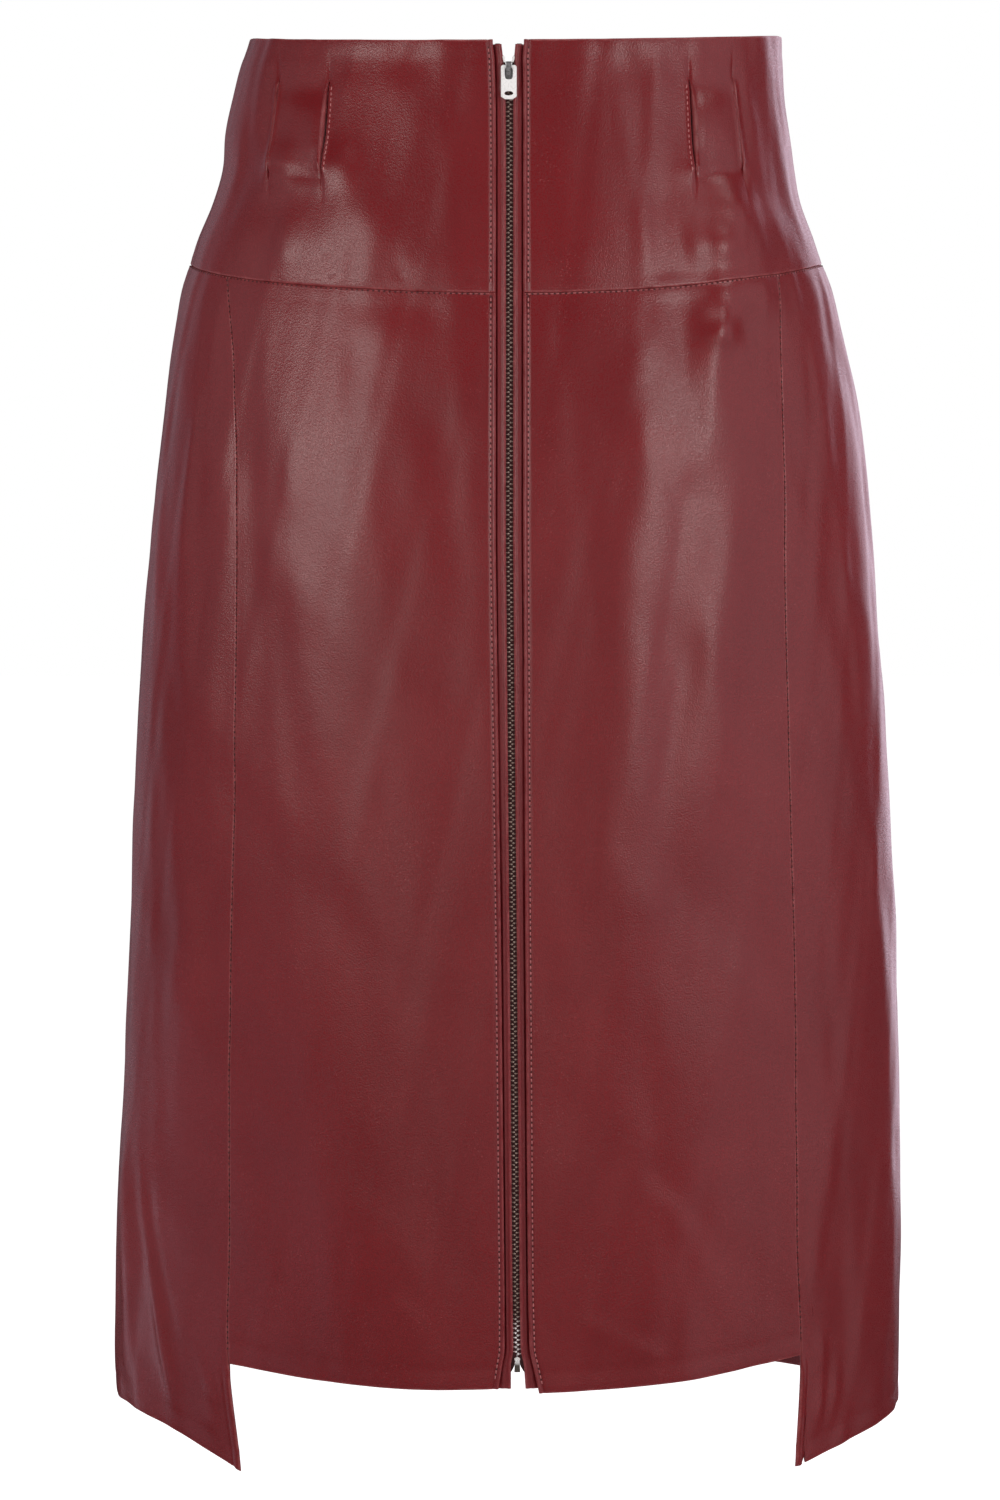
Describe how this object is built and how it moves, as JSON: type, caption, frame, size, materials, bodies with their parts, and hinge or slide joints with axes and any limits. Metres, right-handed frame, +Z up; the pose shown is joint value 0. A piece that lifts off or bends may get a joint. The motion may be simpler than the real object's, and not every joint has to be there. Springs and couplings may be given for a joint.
{
  "type": "leather skirt",
  "caption": "High-waisted leather skirt with a hip yoke, belt slits, a full front zip and longer side panels with pointed front corners.",
  "frame": {"origin": "centre of the waist opening, where the wearer's waist holds the skirt up", "axes": "+Z up, out of the waist; the front with the zip faces -Y; +X is to the right as seen from the front"},
  "size_m": [0.3965, 0.2926, 0.7018],
  "materials": {
    "leather": "semi-gloss, fine pebble grain",
    "facing_leather": "satin",
    "zip_metal": "dark antique metal",
    "pull_metal": "polished nickel"
  },
  "bodies": {
    "skirt": {"yoke_front_left": "leather", "yoke_front_right": "leather", "yoke_back": "leather", "front_panel_left": "leather", "front_panel_right": "leather", "side_panel_left": "leather", "side_panel_right": "leather", "back_panel": "leather", "zip_facing_left": "facing_leather", "zip_facing_right": "facing_leather", "zip_chain": "zip_metal", "zip_top_stop_left": "pull_metal", "zip_top_stop_right": "pull_metal", "zip_slider": "zip_metal", "zip_end_box": "zip_metal"},
    "pull_tab": {"zip_pull": "pull_metal"}
  },
  "joints": [
    {"name": "pull_swing", "type": "hinge", "parent": "skirt", "child": "pull_tab", "pos_m": [-0.0018, -0.09842, -0.01931], "axis": [-1, 0, 0], "range_deg": [0, 165]}
  ]
}
